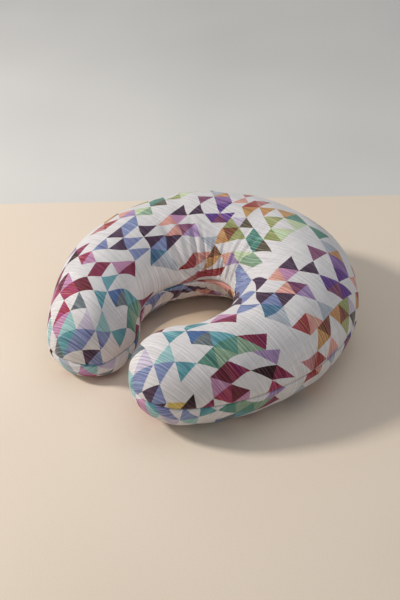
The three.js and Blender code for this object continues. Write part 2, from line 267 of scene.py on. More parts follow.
def make_light():
    scene = bpy.context.scene
    scene.view_settings.view_transform = "Standard"
    scene.world = bpy.data.worlds.new("studio")
    scene.world.use_nodes = True
    background = scene.world.node_tree.nodes["Background"]
    background.inputs["Color"].default_value = SKY_COLOUR
    background.inputs["Strength"].default_value = SKY_STRENGTH
    for name, settings in AREA_LIGHTS.items():
        area_light(name, *settings)
    hollow_light()


# ------------ materials
NOISE = (0.3, 0.7)              # where nearly all the values of a noise lie


class Nodes:
    """A node material in the making. Inputs that are sockets get linked, others are set."""

    def __init__(self, name):
        self.material = bpy.data.materials.new(name)
        self.material.use_nodes = True
        self.tree = self.material.node_tree
        self.shader = self.tree.nodes["Principled BSDF"]

    def put(self, node, values):
        for key, value in values.items():
            socket = node.inputs[key]
            if isinstance(value, bpy.types.NodeSocket):
                self.tree.links.new(value, socket)
            else:
                socket.default_value = value

    def add(self, kind, values=None, **settings):
        node = self.tree.nodes.new(kind)
        for key, value in settings.items():
            setattr(node, key, value)
        self.put(node, values or {})
        return node

    def calc(self, operation, first, second=0.0, third=0.0):
        node = self.add("ShaderNodeMath", {0: first, 1: second, 2: third}, operation=operation)
        return node.outputs[0]

    def shared(self, first, second, share):
        """So much of the first value, and the rest of the second."""
        return self.calc("ADD", self.calc("MULTIPLY", first, share), self.calc("MULTIPLY", second, 1 - share))

    def place(self, uv_map=None):
        if uv_map:
            return self.add("ShaderNodeUVMap", uv_map=uv_map).outputs["UV"]
        return self.add("ShaderNodeTexCoord").outputs["Object"]

    def stretched(self, vector, scale, turn=0.0):
        values = {"Vector": vector, "Scale": scale, "Rotation": (0, 0, turn)}
        return self.add("ShaderNodeMapping", values).outputs["Vector"]

    def noise(self, vector, scale=1.0, detail=2.0, roughness=0.5):
        values = {"Vector": vector, "Scale": scale, "Detail": detail, "Roughness": roughness}
        return self.add("ShaderNodeTexNoise", values).outputs["Fac"]

    def waves(self, vector, scale, distortion, direction):
        values = {"Vector": vector, "Scale": scale, "Distortion": distortion}
        return self.add("ShaderNodeTexWave", values, bands_direction=direction).outputs["Fac"]

    def spread(self, value, low, high, to_low=0.0, to_high=1.0):
        values = {"Value": value, "From Min": low, "From Max": high, "To Min": to_low, "To Max": to_high}
        return self.add("ShaderNodeMapRange", values).outputs["Result"]

    def mix(self, share, first, second, blend="MIX"):
        node = self.add("ShaderNodeMix", data_type="RGBA", blend_type=blend)
        self.put(node, {0: share, 6: first, 7: second})
        return node.outputs[2]

    def shaded(self, colour, brightness):
        grey = self.add("ShaderNodeCombineColor", {0: brightness, 1: brightness, 2: brightness})
        return self.mix(1.0, colour, grey.outputs[0], "MULTIPLY")

    def ramp(self, value, stops, interpolation="LINEAR"):
        node = self.add("ShaderNodeValToRGB", {"Fac": value})
        elements = node.color_ramp.elements
        node.color_ramp.interpolation = interpolation
        while len(elements) > 1:
            elements.remove(elements[0])
        elements[0].position, elements[0].color = stops[0][0], (*stops[0][1], 1)
        for position, colour in stops[1:]:
            elements.new(position).color = (*colour, 1)
        return node.outputs["Color"]

    def bump(self, height, distance, strength):
        values = {"Height": height, "Distance": distance, "Strength": strength}
        return self.add("ShaderNodeBump", values).outputs["Normal"]

    def finish(self, **values):
        """Sets the shader's inputs, named with underscores for spaces, and gives the material."""
        self.put(self.shader, {key.replace("_", " "): value for key, value in values.items()})
        return self.material


def linear(red, green, blue):
    """A colour given as it looks on a screen, 0 to 255, as the shader's linear values."""
    return tuple((part / 255) ** 2.2 for part in (red, green, blue))


# The print: right- and left-pointing triangles on a lattice, nine columns to the repeat.
# A letter is a cell's colour, from the back's side down, in half sides; a dot is the bare ground.
PRINT_CHART = (
    "..dra.ioba.ba....l..BMO..K..",
    "...a..k.o..s.rd..BK..Mc.B...",
    "..a.o..GG.pl......c..Oc..Th.",
    "..Gp.po.k.g.wwA.w.O..Mc.cO..",
    "..G.........A.wA..BB.M.S.TtS",
    "...h.P..AOs..A.w.O.t.t..iww.",
    "...am..A..PsAwu..B..e..Tw.A.",
    ".d..mv.v..l...h....tS..t..wA",
    "...s..vP..h.sr...BgGgG....y.",
)
BARE_GROUND = (216, 212, 212)
PRINT_COLOURS = {
    ".": BARE_GROUND, "a": (192, 138, 78), "y": (205, 175, 75), "b": (125, 75, 50),
    "k": (95, 88, 70), "o": (150, 155, 95), "p": (190, 205, 165), "g": (130, 160, 130),
    "G": (80, 135, 120), "r": (160, 50, 50), "s": (212, 146, 132), "d": (180, 110, 110),
    "B": (130, 28, 72), "M": (104, 20, 46), "K": (52, 10, 20), "c": (158, 40, 82),
    "O": (188, 130, 168), "P": (130, 70, 105), "A": (75, 50, 75), "v": (95, 55, 135),
    "m": (130, 90, 150), "l": (160, 130, 175), "i": (190, 180, 200), "w": (118, 130, 174),
    "e": (60, 95, 150), "t": (85, 150, 160), "T": (145, 190, 190), "S": (100, 110, 115),
    "h": (170, 175, 185), "u": (65, 110, 140),
}
PRINT_ROWS = 28                 # half sides in the chart
PRINT_FIRST_ROW = -4            # the row of its first half side


def chart_cell(nodes, column, row):
    """(index of the column in the repeat, place down the chart from 0 to 1) of a point of the cloth."""
    local = nodes.calc("WRAP", column, float(len(PRINT_CHART)), 0.0)
    strip = nodes.calc("FLOOR", local)
    half_across = nodes.calc("MULTIPLY", nodes.calc("SUBTRACT", local, strip), 0.5)
    odd = nodes.calc("MODULO", strip, 2.0)
    level = nodes.calc("SUBTRACT", row, nodes.calc("MULTIPLY", odd, 0.5))
    above = nodes.calc("FLOOR", nodes.calc("SUBTRACT", level, half_across))
    below = nodes.calc("FLOOR", nodes.calc("ADD", level, half_across))
    cell = nodes.calc("ADD", nodes.calc("ADD", above, below), odd)
    from_top = nodes.calc("ADD", cell, 1.5 - PRINT_FIRST_ROW)
    down = nodes.calc("DIVIDE", nodes.calc("WRAP", from_top, float(PRINT_ROWS), 0.0), float(PRINT_ROWS))
    return strip, down


def chart_colour(nodes, strip, down):
    colour = None
    for index, letters in enumerate(PRINT_CHART):
        stops = [(n / PRINT_ROWS, linear(*PRINT_COLOURS[letter])) for n, letter in enumerate(letters)]
        ramp = nodes.ramp(down, stops, "CONSTANT")
        chosen = nodes.calc("COMPARE", strip, float(index), 0.5)
        colour = ramp if colour is None else nodes.mix(chosen, colour, ramp)
    return colour


# How finely each noise of the cotton lies across, down and through the cloth, per metre.
WEFT = (22, 760, 1)
WARP = (720, 22, 1)
CELL_EDGES = (8, 900, 1)
DYE_STREAKS = (9, 700, 1)
DYE_TINTS = (12, 260, 1)
TINT_TURN = 0.1
EDGE_WANDER = 0.10              # in columns
PALEST_INK = 0.92               # the deeper an ink is below it, the more its yarns differ
# From which noise values, and to what, each of these goes.
DYE_SWING = (0.40, 0.60, -0.68, 0.60)
DYE_HUE = (0.25, 0.75, 0.455, 0.545)
BARE_YARNS = (0.52, 0.70, 0.0, 1.7)
YARN_SHADE = (0.38, 0.62, 0.82, 1.04)


def linen_weave(nodes, cloth):
    """Slubby yarns in both directions: (shade around 0.5, height around 0.5)."""
    weft = nodes.noise(nodes.stretched(cloth, WEFT), roughness=0.6)
    warp = nodes.noise(nodes.stretched(cloth, WARP), roughness=0.6)
    yarns = nodes.waves(cloth, 180.0, 0.6, "Y")
    shade = nodes.shared(weft, warp, 0.65)
    return shade, nodes.shared(shade, yarns, 0.8)


def printed_cotton():
    """White linen-like cotton, its cells dyed yarn by yarn: streaky, and thin where yarns stay bare."""
    nodes = Nodes("printed_cotton")
    cloth = nodes.place("cloth")
    shade, height = linen_weave(nodes, cloth)
    split = nodes.add("ShaderNodeSeparateXYZ", {"Vector": nodes.place("print")})
    ragged = nodes.calc("SUBTRACT", nodes.noise(nodes.stretched(cloth, CELL_EDGES)), 0.5)
    column = nodes.calc("MULTIPLY_ADD", ragged, EDGE_WANDER, split.outputs["X"])
    ink = chart_colour(nodes, *chart_cell(nodes, column, split.outputs["Y"]))
    depth = nodes.calc("SUBTRACT", PALEST_INK, nodes.add("ShaderNodeRGBToBW", {"Color": ink}).outputs[0])
    streak = nodes.noise(nodes.stretched(cloth, DYE_STREAKS), 1.0, 3.0, 0.8)
    hue = nodes.spread(nodes.noise(nodes.stretched(cloth, DYE_TINTS, TINT_TURN)), *DYE_HUE)
    dyed = nodes.add("ShaderNodeHueSaturation", {"Hue": hue, "Color": ink, "Saturation": 0.94}).outputs[0]
    swing = nodes.calc("MULTIPLY", nodes.spread(streak, *DYE_SWING), depth)
    dyed = nodes.shaded(dyed, nodes.calc("ADD", 1.0, swing))
    half_tone = nodes.calc("MULTIPLY", depth, nodes.calc("SUBTRACT", 1.05, depth))
    bare = nodes.calc("MULTIPLY", nodes.spread(streak, *BARE_YARNS), half_tone)
    dyed = nodes.mix(bare, dyed, (*linear(*BARE_GROUND), 1))
    colour = nodes.shaded(dyed, nodes.spread(shade, *YARN_SHADE))
    return nodes.finish(Base_Color=colour, Roughness=nodes.spread(shade, *NOISE, 0.98, 0.82),
                        Normal=nodes.bump(height, 0.0006, 0.7), Sheen_Weight=0.12, Specular_IOR_Level=0.25)


def plain_cloth(name, colour, scale=1.0, contrast=0.08, roughness=0.9, bump=0.0004):
    """A woven cloth of one colour, its yarns along X and Y."""
    nodes = Nodes(name)
    place = nodes.place()
    coarse, fine, cross_fine = 60 * scale, 1300 * scale, 900 * scale
    yarn = nodes.noise(nodes.stretched(place, (coarse, fine, fine)), detail=3.0)
    cross = nodes.noise(nodes.stretched(place, (fine, coarse, cross_fine)))
    woven = nodes.shared(yarn, cross, 0.5)
    tone = nodes.shared(woven, nodes.noise(place, 14.0, 3.0), 0.7)
    dark = tuple(part * (1 - 3 * contrast) for part in linear(*colour))
    shown = nodes.ramp(tone, [(0.32, dark), (0.62, linear(*colour))])
    rough = nodes.spread(woven, *NOISE, roughness + 0.06, roughness - 0.06)
    return nodes.finish(Base_Color=shown, Roughness=rough, Normal=nodes.bump(woven, bump, 0.6),
                        Sheen_Weight=0.1)


def fibre():
    nodes = Nodes("fibre")
    place = nodes.place()
    tufts = nodes.noise(place, 90.0, 6.0, 0.7)
    hairs = nodes.noise(nodes.stretched(place, (900, 200, 500)), detail=4.0)
    height = nodes.shared(tufts, hairs, 0.7)
    shown = nodes.ramp(height, [(0.3, linear(205, 204, 198)), (0.6, linear(249, 248, 244))])
    return nodes.finish(Base_Color=shown, Roughness=nodes.spread(tufts, *NOISE, 1.0, 0.88),
                        Normal=nodes.bump(height, 0.004, 0.8), Subsurface_Weight=0.15, Sheen_Weight=0.3)


def brushed_metal():
    nodes = Nodes("slider_metal")
    place = nodes.place()
    brushed = nodes.noise(nodes.stretched(place, (900, 900, 4200)), 1.0, 4.0, 0.6)
    worn = nodes.noise(place, 420.0, 5.0)
    shown = nodes.ramp(worn, [(0.3, linear(206, 204, 199)), (0.7, linear(222, 220, 216))])
    rough = nodes.spread(nodes.calc("MULTIPLY", brushed, worn), 0.1, 0.4, 0.2, 0.34)
    return nodes.finish(Base_Color=shown, Roughness=rough, Normal=nodes.bump(brushed, 0.00006, 0.5),
                        Metallic=1.0)


def coil_nylon():
    nodes = Nodes("zip_coil")
    drawn = nodes.noise(nodes.place(), 1400.0, 3.0)
    shown = nodes.ramp(drawn, [(0.3, linear(222, 219, 211)), (0.7, linear(243, 241, 235))])
    return nodes.finish(Base_Color=shown, Roughness=nodes.spread(drawn, *NOISE, 0.34, 0.52),
                        Normal=nodes.bump(drawn, 0.00005, 0.4), Subsurface_Weight=0.1)


def twisted_thread():
    nodes = Nodes("sewing_thread")
    twist = nodes.waves(nodes.place(), 500.0, 1.5, "DIAGONAL")
    shown = nodes.ramp(twist, [(0.1, linear(214, 210, 204)), (0.8, linear(245, 243, 238))])
    return nodes.finish(Base_Color=shown, Roughness=nodes.spread(twist, 0.0, 1.0, 0.82, 0.58),
                        Normal=nodes.bump(twist, 0.0001, 0.6))


def stage_finish():
    """A pale woven floor that turns into the backdrop's cool grey behind the pillow."""
    nodes = Nodes("stage")
    place = nodes.place()
    behind = Vector((-math.sin(CAMERA_AZIMUTH), math.cos(CAMERA_AZIMUTH), 0))
    measured = nodes.add("ShaderNodeVectorMath", {0: place, 1: behind}, operation="DOT_PRODUCT")
    past = nodes.spread(measured.outputs["Value"], STAGE_EDGE - STAGE_BLUR, STAGE_EDGE + STAGE_BLUR)
    weave = nodes.noise(nodes.stretched(place, (700, 500, 1), 0.5))
    drift = nodes.noise(place, 1.6)
    tone = nodes.shared(weave, drift, 0.45)
    floor = nodes.ramp(tone, [(0.3, linear(219, 202, 182)), (0.7, linear(231, 216, 198))])
    wall = nodes.ramp(drift, [(0.3, linear(202, 200, 196)), (0.7, linear(214, 212, 207))])
    return nodes.finish(Base_Color=nodes.mix(past, floor, wall),
                        Roughness=nodes.spread(weave, *NOISE, 0.95, 0.85),
                        Normal=nodes.bump(weave, 0.0006, 0.4))


def make_stage():
    far = STAGE_HALF_SIZE
    mesh = bpy.data.meshes.new("floor")
    mesh.from_pydata([(-far, -far, 0), (far, -far, 0), (far, far, 0), (-far, far, 0)], [], [(0, 1, 2, 3)])
    mesh.materials.append(stage_finish())
    floor = bpy.data.objects.new("floor", mesh)
    bpy.context.scene.collection.objects.link(floor)


# ------------ where the print lies on the cloth
COVER_SECTION = np.linspace(0, math.pi, 73)
UNDERSIDE_PRINT = (-2.4, -0.5)  # columns and rows between the two panels' prints
LEFT_TIP_UNROLLED = 0.95        # how much of the cloth's true length the print follows over the -X tip
LEFT_TIP_ROUNDED = 0.6          # the sine of the rounding at which it follows the tip's width in full
RIGHT_TIP_SHARE = 0.35          # and how much of both over the +X tip
RIGHT_ARM_EASE = 0.012          # by how much the outer side of the +X arm was eased in
RIGHT_ARM_OUTER = (-0.01, 0.085)                        # from and to how far outward of the crown
RIGHT_ARM_START = np.radians((65, 95))                  # bearings over which the ease comes and goes
RIGHT_ARM_END = np.radians((112, 134))

# From here in mm and rows of the print. A range is where a shift starts and where it is complete.
PRINT_ROW = 36.5                # down the cloth for one side of a triangle
PRINT_START = 137               # behind the arc's centre, where row 0 lies
PRINT_EASE = {-208: -8, -97: -3, -56: -1, -35: 0, 12: 2, 42: 3, 79: 4, 117: 5, 149: 6, 229: 9}
RIGHT_LEAN, RIGHT_LEAN_RANGE = 57, (40, 155)            # the arms were cut straighter, to the front
LEFT_LEAN, LEFT_LEAN_RANGE = 45, (80, 225)
GATHER_MIDDLE, GATHER_WIDTH = -6, 30                    # the back's inner side was gathered there
GATHERS = ((16, (60, 105)), (9, (95, 125)))             # by so much, inward of the crown
DRAWN, DRAWN_RANGE, DRAWN_MIDDLE, DRAWN_WIDTH = 9, (50, 100), 8, 45
PINCHES = ((0.6, (20, 65)), (0.4, (75, 115)))           # rows lost inward of the crown
FULL_ROWS, FULL_PLACE, FULL_WIDTH = 0.35, (155, 60), 55     # rows gained on the back's +X shoulder
LEFT_TIP_RANGE = (140, 235)
LEFT_TIP_SPREAD, LEFT_TIP_MIDDLE, LEFT_TIP_HALF = 0.17, -100, 60    # columns widen over the -X tip
LEFT_TIP_ROWS, LEFT_TIP_INNER = 0.4, (-150, -85)                    # and its inner side is ahead


def extended(value, knots):
    """Straight-line interpolation through the knots that goes on past both ends."""
    known, result = np.array(list(knots)), np.array(list(knots.values()), float)
    first = (result[1] - result[0]) / (known[1] - known[0])
    last = (result[-1] - result[-2]) / (known[-1] - known[-2])
    inside = np.interp(value, known, result)
    return inside + np.minimum(value - known[0], 0) * first + np.maximum(value - known[-1], 0) * last


def from_outer_seam(points):
    """How far along the cloth each point is from the outer seam."""
    steps = np.linalg.norm(np.diff(points, axis=1), axis=-1)
    return np.concatenate([np.zeros((len(points), 1)), np.cumsum(steps, axis=1)], axis=1)


def from_nearest_seam(points):
    outer = from_outer_seam(points)
    return np.minimum(outer, outer[:, -1:] - outer)


def cloth_place(spine, points):
    """Where each point lay on the flat cloth, in metres, and how far outward of the crown it is.

    Over the arms' tips the cloth is unrolled in part, as from a ball."""
    length = from_outer_seam(points)
    outward = length[:, [points.shape[1] // 2]] - length
    crown_to_seam = outward[np.argmax(spine.rounding == 0), 0]
    rounding = spine.rounding[:, None]
    on_left = spine.side[:, None] < 0
    from_crown = np.arccos(np.clip(np.cos(rounding) * np.sin(COVER_SECTION), -1, 1))
    unrolled = from_crown / np.maximum(np.sin(from_crown), 1e-6)
    round_outward = np.where(on_left, 1.0, unrolled) * np.cos(rounding) * np.cos(COVER_SECTION)
    round_outward = round_outward * crown_to_seam / (math.pi / 2)
    flat_reach = TIP_LENGTH * np.sin(rounding)
    round_reach = unrolled * np.sin(rounding) * (TIP_LENGTH + TIP_RISE) / 2
    on_right_tip = RIGHT_TIP_SHARE * (rounding > 0)
    share = np.where(on_left, smoothstep(np.sin(rounding), 0, LEFT_TIP_ROUNDED), on_right_tip)
    reach_share = np.where(on_left, LEFT_TIP_UNROLLED * (rounding > 0), on_right_tip)
    reach = flat_reach + (round_reach - flat_reach) * reach_share
    outward = outward + (round_outward - outward) * share
    eased = smoothstep(spine.turn, *RIGHT_ARM_START) * (1 - smoothstep(spine.turn, *RIGHT_ARM_END))
    outward = outward - RIGHT_ARM_EASE * smoothstep(outward, *RIGHT_ARM_OUTER) * eased[:, None]
    out_x, out_y = np.sin(spine.turn)[:, None], np.cos(spine.turn)[:, None]
    x = spine.x[:, None] + spine.side[:, None] * out_y * reach + out_x * outward
    y = spine.y[:, None] - spine.side[:, None] * out_x * reach + out_y * outward
    return x, y, outward


def print_place(spine, x, y, outward):
    """(column, row) of the print at a place on the flat cloth. The cloth was eased at the back's inner
    side, and the arms were cut straighter than they are stuffed."""
    x, y, inward = x * 1000, y * 1000, -outward * 1000
    on_left = spine.side[:, None] < 0
    off = (x - GATHER_MIDDLE) / GATHER_WIDTH
    strength = sum(most * smoothstep(inward, *span) for most, span in GATHERS)
    gathered = strength * off * np.exp(0.5 - 0.5 * off ** 2)
    gathered += DRAWN * smoothstep(inward, *DRAWN_RANGE) * np.exp(-((x - DRAWN_MIDDLE) / DRAWN_WIDTH) ** 2)
    at_left_tip = smoothstep(-y, *LEFT_TIP_RANGE) * on_left
    spread = LEFT_TIP_SPREAD * np.clip(x - LEFT_TIP_MIDDLE, -LEFT_TIP_HALF, LEFT_TIP_HALF) * at_left_tip
    left = x - LEFT_LEAN * smoothstep(-y, *LEFT_LEAN_RANGE) - spread
    right = x + RIGHT_LEAN * smoothstep(-y, *RIGHT_LEAN_RANGE)
    column = extended(np.where(on_left, left, right) + gathered, PRINT_EASE)
    pinched = sum(most * smoothstep(inward, *span) for most, span in PINCHES)
    from_full = (x - FULL_PLACE[0]) ** 2 + (y - FULL_PLACE[1]) ** 2
    full = FULL_ROWS * np.exp(-from_full / FULL_WIDTH ** 2)
    early = LEFT_TIP_ROWS * at_left_tip * smoothstep(x, *LEFT_TIP_INNER)
    return column, (PRINT_START - y) / PRINT_ROW + pinched - full + early


# ------------ meshes and pieces
WELD = 0.00002                  # points this close become one


def grid_mesh(name, points, uv_maps=None, closed=False):
    """A quad mesh through rows of points; collapsed ends become single vertices."""
    rows, across = points.shape[:2]
    mesh = bpy.data.meshes.new(name)
    index = np.arange(rows * across).reshape(rows, across)
    if closed:
        index = np.concatenate([index, index[:, :1]], axis=1)
    quads = np.stack([index[:-1, :-1], index[1:, :-1], index[1:, 1:], index[:-1, 1:]], axis=-1).reshape(-1, 4)
    mesh.from_pydata(points.reshape(-1, 3).tolist(), [], quads.tolist())
    corner = np.empty(len(mesh.loops), int)
    mesh.loops.foreach_get("vertex_index", corner)
    for map_name, places in (uv_maps or {}).items():
        layer = mesh.uv_layers.new(name=map_name)
        layer.data.foreach_set("uv", places.reshape(-1, 2)[corner].ravel())
    tidy = bmesh.new()
    tidy.from_mesh(mesh)
    bmesh.ops.remove_doubles(tidy, verts=tidy.verts, dist=WELD)
    bmesh.ops.recalc_face_normals(tidy, faces=tidy.faces)
    tidy.to_mesh(mesh)
    tidy.free()
    mesh.polygons.foreach_set("use_smooth", [True] * len(mesh.polygons))
    return mesh


def place_piece(name, mesh, finish, body, slot, *nodes):
    mesh.materials.clear()
    mesh.materials.append(finish)
    piece = bpy.data.objects.new(name, mesh)
    bpy.context.scene.collection.objects.link(piece)
    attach(piece, body)
    if nodes:
        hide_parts(*nodes)
    return piece


def solidify(piece, thickness):
    """Gives a shell its cloth thickness, inwards, and applies it."""
    modifier = piece.modifiers.new("thickness", "SOLIDIFY")
    modifier.thickness = thickness
    modifier.offset = -1
    modifier.use_even_offset = False
    depsgraph = bpy.context.evaluated_depsgraph_get()
    mesh = bpy.data.meshes.new_from_object(piece.evaluated_get(depsgraph))
    piece.modifiers.clear()
    piece.data = mesh


# ------------ the cover's two panels
COVER_SPACING = 0.005
CREASES = (                     # along the back in degrees, how deep and how wide in mm, how far up the side
    (-77, 4.6, 9.0, 1.0), (-58, 4.4, 6.5, 0.9), (-41, 3.4, 5.0, 0.7), (-29, 2.6, 4.4, 0.6),
    (-18, 3.0, 5.0, 0.7), (-9, 2.4, 4.0, 0.60), (4, 4.0, 5.0, 0.86), (11, 2.2, 3.2, 0.52),
    (21, 4.2, 6.5, 0.95), (33, 2.4, 3.6, 0.50), (51, 4.6, 5.5, 0.82), (66, 2.6, 7.0, 0.55),
    (84, 2.2, 8.0, 0.45),
)
CREASE_DRIFT = 0.12             # how far a crease slants on its way up, in radians round the back
CREASE_BEAT = 2.1
RIDGE_SHARE = 0.45              # the ridges beside a crease: how high, and how many widths away
RIDGE_PLACE = 1.9
CREASE_END = (0.86, 0.98)       # the share of the way to the inner seam where creases run out
CREASE_FULL = 0.45              # the share of its reach at which a crease is at its deepest
UNDERSIDE_CREASES = 0.6
CREASE_LEVEL = 0.03             # and how high above the floor they start
FOLD_START = (0.004, 0.03)      # the distance from a seam over which folds grow
NARROW_END = (0.01, 0.06)       # the width of a panel over which they die out at a tip's end
PUCKER_HEIGHT = 0.0004
PUCKER_REACH = 0.011
PUCKER_START = 0.004
PUCKER_WAVES = ((3.9, 1.0, 0.0), (2.7, 0.7, 0.8), (8.3, 0.8, 0.0))      # mm to a radian, share, phase
TIP_PUCKERS = 1.6
SEAM_PINCH = 0.0022             # how deep and how wide the groove along a seam is, and from what height
SEAM_PINCH_WIDTH = 0.0028
PINCH_LEVEL = 0.01
DEEPEST_FOLD = 0.0046           # the liner starts 6.5 mm in
FLOOR_GAP = 0.0002
LUMP_HEIGHT = 0.0011
DRAWN_IN = 0.0045               # the +X arm's inner side, and where, in mm
DRAWN_IN_PLACE = (52, -22)
DRAWN_IN_WIDTH = 30
DRAWN_IN_LEVELS = (60, 95)


def creases(spine, section):
    """Depth of the folds that run from the inner seam up towards the crown, in metres."""
    bearing = spine.length[:, None] / BACK_RADIUS
    rise = (section[None, :] - math.pi / 2) / (math.pi / 2)
    depth = np.zeros((len(spine.turn), len(section)))
    for number, (degrees, deep, wide, reach) in enumerate(CREASES):
        drift = CREASE_DRIFT * math.sin(CREASE_BEAT * number) * (1 - rise)
        off = (bearing - math.radians(degrees) - drift) * BACK_RADIUS * 1000 / wide
        along = smoothstep(rise, 1 - reach, 1 - reach * CREASE_FULL) * (1 - smoothstep(rise, *CREASE_END))
        ridges = RIDGE_SHARE * np.exp(-(np.abs(off) - RIDGE_PLACE) ** 2)
        depth += deep / 1000 * along * (np.exp(-off ** 2) - ridges)
    return depth


def puckers(spine, from_seam):
    """Small gathers along a seam, stronger where the arms round off."""
    tip = 1 + TIP_PUCKERS * np.sin(spine.rounding)[:, None]
    beat = spine.length[:, None] * 1000
    wave = sum(share * np.sin(beat / length + phase) for length, share, phase in PUCKER_WAVES)
    fade = np.exp(-from_seam / PUCKER_REACH) * smoothstep(from_seam, 0, PUCKER_START)
    return PUCKER_HEIGHT * wave * fade * tip


def undulation(points, normals):
    """Low, broad unevenness of hand-packed fibre, and how the +X arm's inner side is drawn in at the
    end of the hollow, in metres."""
    x, y, z = millimetres(points)
    from_place = (x - DRAWN_IN_PLACE[0]) ** 2 + (y - DRAWN_IN_PLACE[1]) ** 2
    drawn_in = np.exp(-from_place / DRAWN_IN_WIDTH ** 2) * smoothstep(z, *DRAWN_IN_LEVELS)
    lumps = np.sin(x / 31 + 0.7) * np.sin(y / 27 + 1.9) + 0.7 * np.sin((x + y) / 19) * np.sin((y - z) / 23)
    return LUMP_HEIGHT * lumps - DRAWN_IN * drawn_in


def cover_panel(name, side, finish, swelling):
    spine = Spine(COVER_SPACING)
    points = skin(spine, side, COVER_SECTION)
    normals = grid_normals(points, side)
    x, y, outward = cloth_place(spine, points)
    column, row = print_place(spine, x, y, outward)
    if side == LOWER:
        column, row = column + UNDERSIDE_PRINT[0], row + UNDERSIDE_PRINT[1]
    near = from_nearest_seam(points)
    width = np.linalg.norm(points[:, [0], :] - points[:, [-1], :], axis=-1)
    push = swelling(points, normals) * smoothstep(near, *FOLD_START)
    push -= SEAM_PINCH * np.exp(-(near / SEAM_PINCH_WIDTH) ** 2) * (points[..., 2] > PINCH_LEVEL)
    push += puckers(spine, near)
    folds = creases(spine, COVER_SECTION)
    push -= folds if side == UPPER else UNDERSIDE_CREASES * folds * (points[..., 2] > CREASE_LEVEL)
    push = np.maximum(push, -DEEPEST_FOLD) * smoothstep(width, *NARROW_END)
    points = settled(points + normals * push[..., None])
    points[..., 2] = np.maximum(points[..., 2], FLOOR_GAP)
    maps = {"cloth": np.stack([x, y], axis=-1), "print": np.stack([column, row], axis=-1)}
    panel = place_piece(name, grid_mesh(name, points, maps), finish, "cushion", "printed_cotton",
                        "cover_top_panel" if side == UPPER else "cover_bottom_panel")
    solidify(panel, CLOTH)
    return points


# ------------ the cover's folds, simulated
FORM_SPACING = 0.006
FORM_SHRINK = 0.002
FORM_FRAMES = 14
FORM_SECTION = np.linspace(0, math.pi, 31)
FORM_CLOTH = {                  # 3 % slack under pressure, without gravity
    "quality": 5, "mass": 0.25, "tension_stiffness": 25, "compression_stiffness": 25,
    "shear_stiffness": 12, "bending_stiffness": 0.06, "use_pressure": True,
    "uniform_pressure_force": 15, "shrink_min": -0.03,
}
BROAD_BLUR = 120                # passes that leave only the broad swelling
BROAD_SHARE = 0.08              # how much of it is kept: the CAD form has the stuffed size already
FOLD_CAP = 0.006


def closed_form(name, spacing, shrink):
    """The whole pillow as one closed, evenly meshed form, a little smaller than its CAD shape."""
    mesh = grid_mesh(name, closed_ring(Spine(spacing), FORM_SECTION, shrink), closed=True)
    form = bpy.data.objects.new(name, mesh)
    bpy.context.scene.collection.objects.link(form)
    bpy.context.view_layer.objects.active = form
    mesh.remesh_voxel_size = spacing
    bpy.ops.object.voxel_remesh()
    return form


def vertex_places(mesh):
    places = np.empty(3 * len(mesh.vertices), np.float32)
    mesh.vertices.foreach_get("co", places)
    return places.reshape(-1, 3).astype(float)


def simulated_cloth():
    """Blows the closed form up as cloth and returns (rest places, how far each moved, faces)."""
    form = closed_form("cloth_form", FORM_SPACING, FORM_SHRINK)
    rest = vertex_places(form.data)
    faces = [tuple(face.vertices) for face in form.data.polygons]
    cloth = form.modifiers.new("cloth", "CLOTH")
    for setting, value in FORM_CLOTH.items():
        setattr(cloth.settings, setting, value)
    cloth.settings.effector_weights.gravity = 0
    scene = bpy.context.scene
    for number in range(1, FORM_FRAMES + 1):
        scene.frame_set(number)
    depsgraph = bpy.context.evaluated_depsgraph_get()
    moved = vertex_places(form.evaluated_get(depsgraph).data) - rest
    scene.frame_set(1)
    bpy.data.objects.remove(form)
    return rest, moved, faces


def blurred(values, passes):
    for _ in range(passes):
        padded = np.pad(values, 1, mode="edge")
        values = (padded[:-2, 1:-1] + padded[2:, 1:-1] + padded[1:-1, :-2] + padded[1:-1, 2:] + values) / 5
    return values


def make_swelling():
    """The simulated cloth's folds as a push along the normal at any place of the skin."""
    rest, moved, faces = simulated_cloth()
    tree = BVHTree.FromPolygons([Vector(place) for place in rest], faces)
    centres = np.array([moved[list(face)].mean(axis=0) for face in faces])

    def swelling(points, normals):
        rows, across = points.shape[:2]
        found = [tree.find_nearest(Vector(place))[2] for place in points.reshape(-1, 3)]
        push = blurred(np.sum(centres[found].reshape(rows, across, 3) * normals, axis=-1), 1)
        broad = blurred(push, BROAD_BLUR)
        folds = np.clip(push - broad, -FOLD_CAP, FOLD_CAP)
        return np.clip(broad * BROAD_SHARE, -FOLD_CAP, FOLD_CAP) + folds + undulation(points, normals)

    return swelling


# ------------ the pillow inside, and the labels
LINING_SPACING = 0.008
LINER_SECTION = np.linspace(0, math.pi, 49)
FILL_SECTION = np.linspace(0, math.pi, 41)
RIPPLE = 0.0006
RIPPLE_START = (0.001, 0.02)    # the distance from a seam over which it grows
TUFT = 0.0012
LABEL_INSET = 0.003
LABEL = 0.0005                  # the label's thickness in the CAD, and the satin's
SATIN = 0.0004
LABEL_DROP = (3, 24)            # from and to which section angle it hangs, in degrees
LABEL_WAVE = 0.0005


def lining_ripple(points):
    x, y, z = millimetres(points)
    return RIPPLE * (np.sin(x / 5.3 + y / 9.1) * np.sin(y / 6.7 - z / 7.7) - 1)


def liner_panel(name, side, node):
    spine = Spine(LINING_SPACING)
    points = skin(spine, side, LINER_SECTION, LINER_INSET, SEAM_GAP)
    fade = smoothstep(from_nearest_seam(points), *RIPPLE_START) * (np.cos(spine.rounding)[:, None] > 0.2)
    points = settled(points + grid_normals(points, side) * (lining_ripple(points) * fade)[..., None])
    mesh = grid_mesh(name, points)
    panel = place_piece(name, mesh, FINISHES["liner_cloth"], "cushion", "liner_cloth", node)
    solidify(panel, LINER)


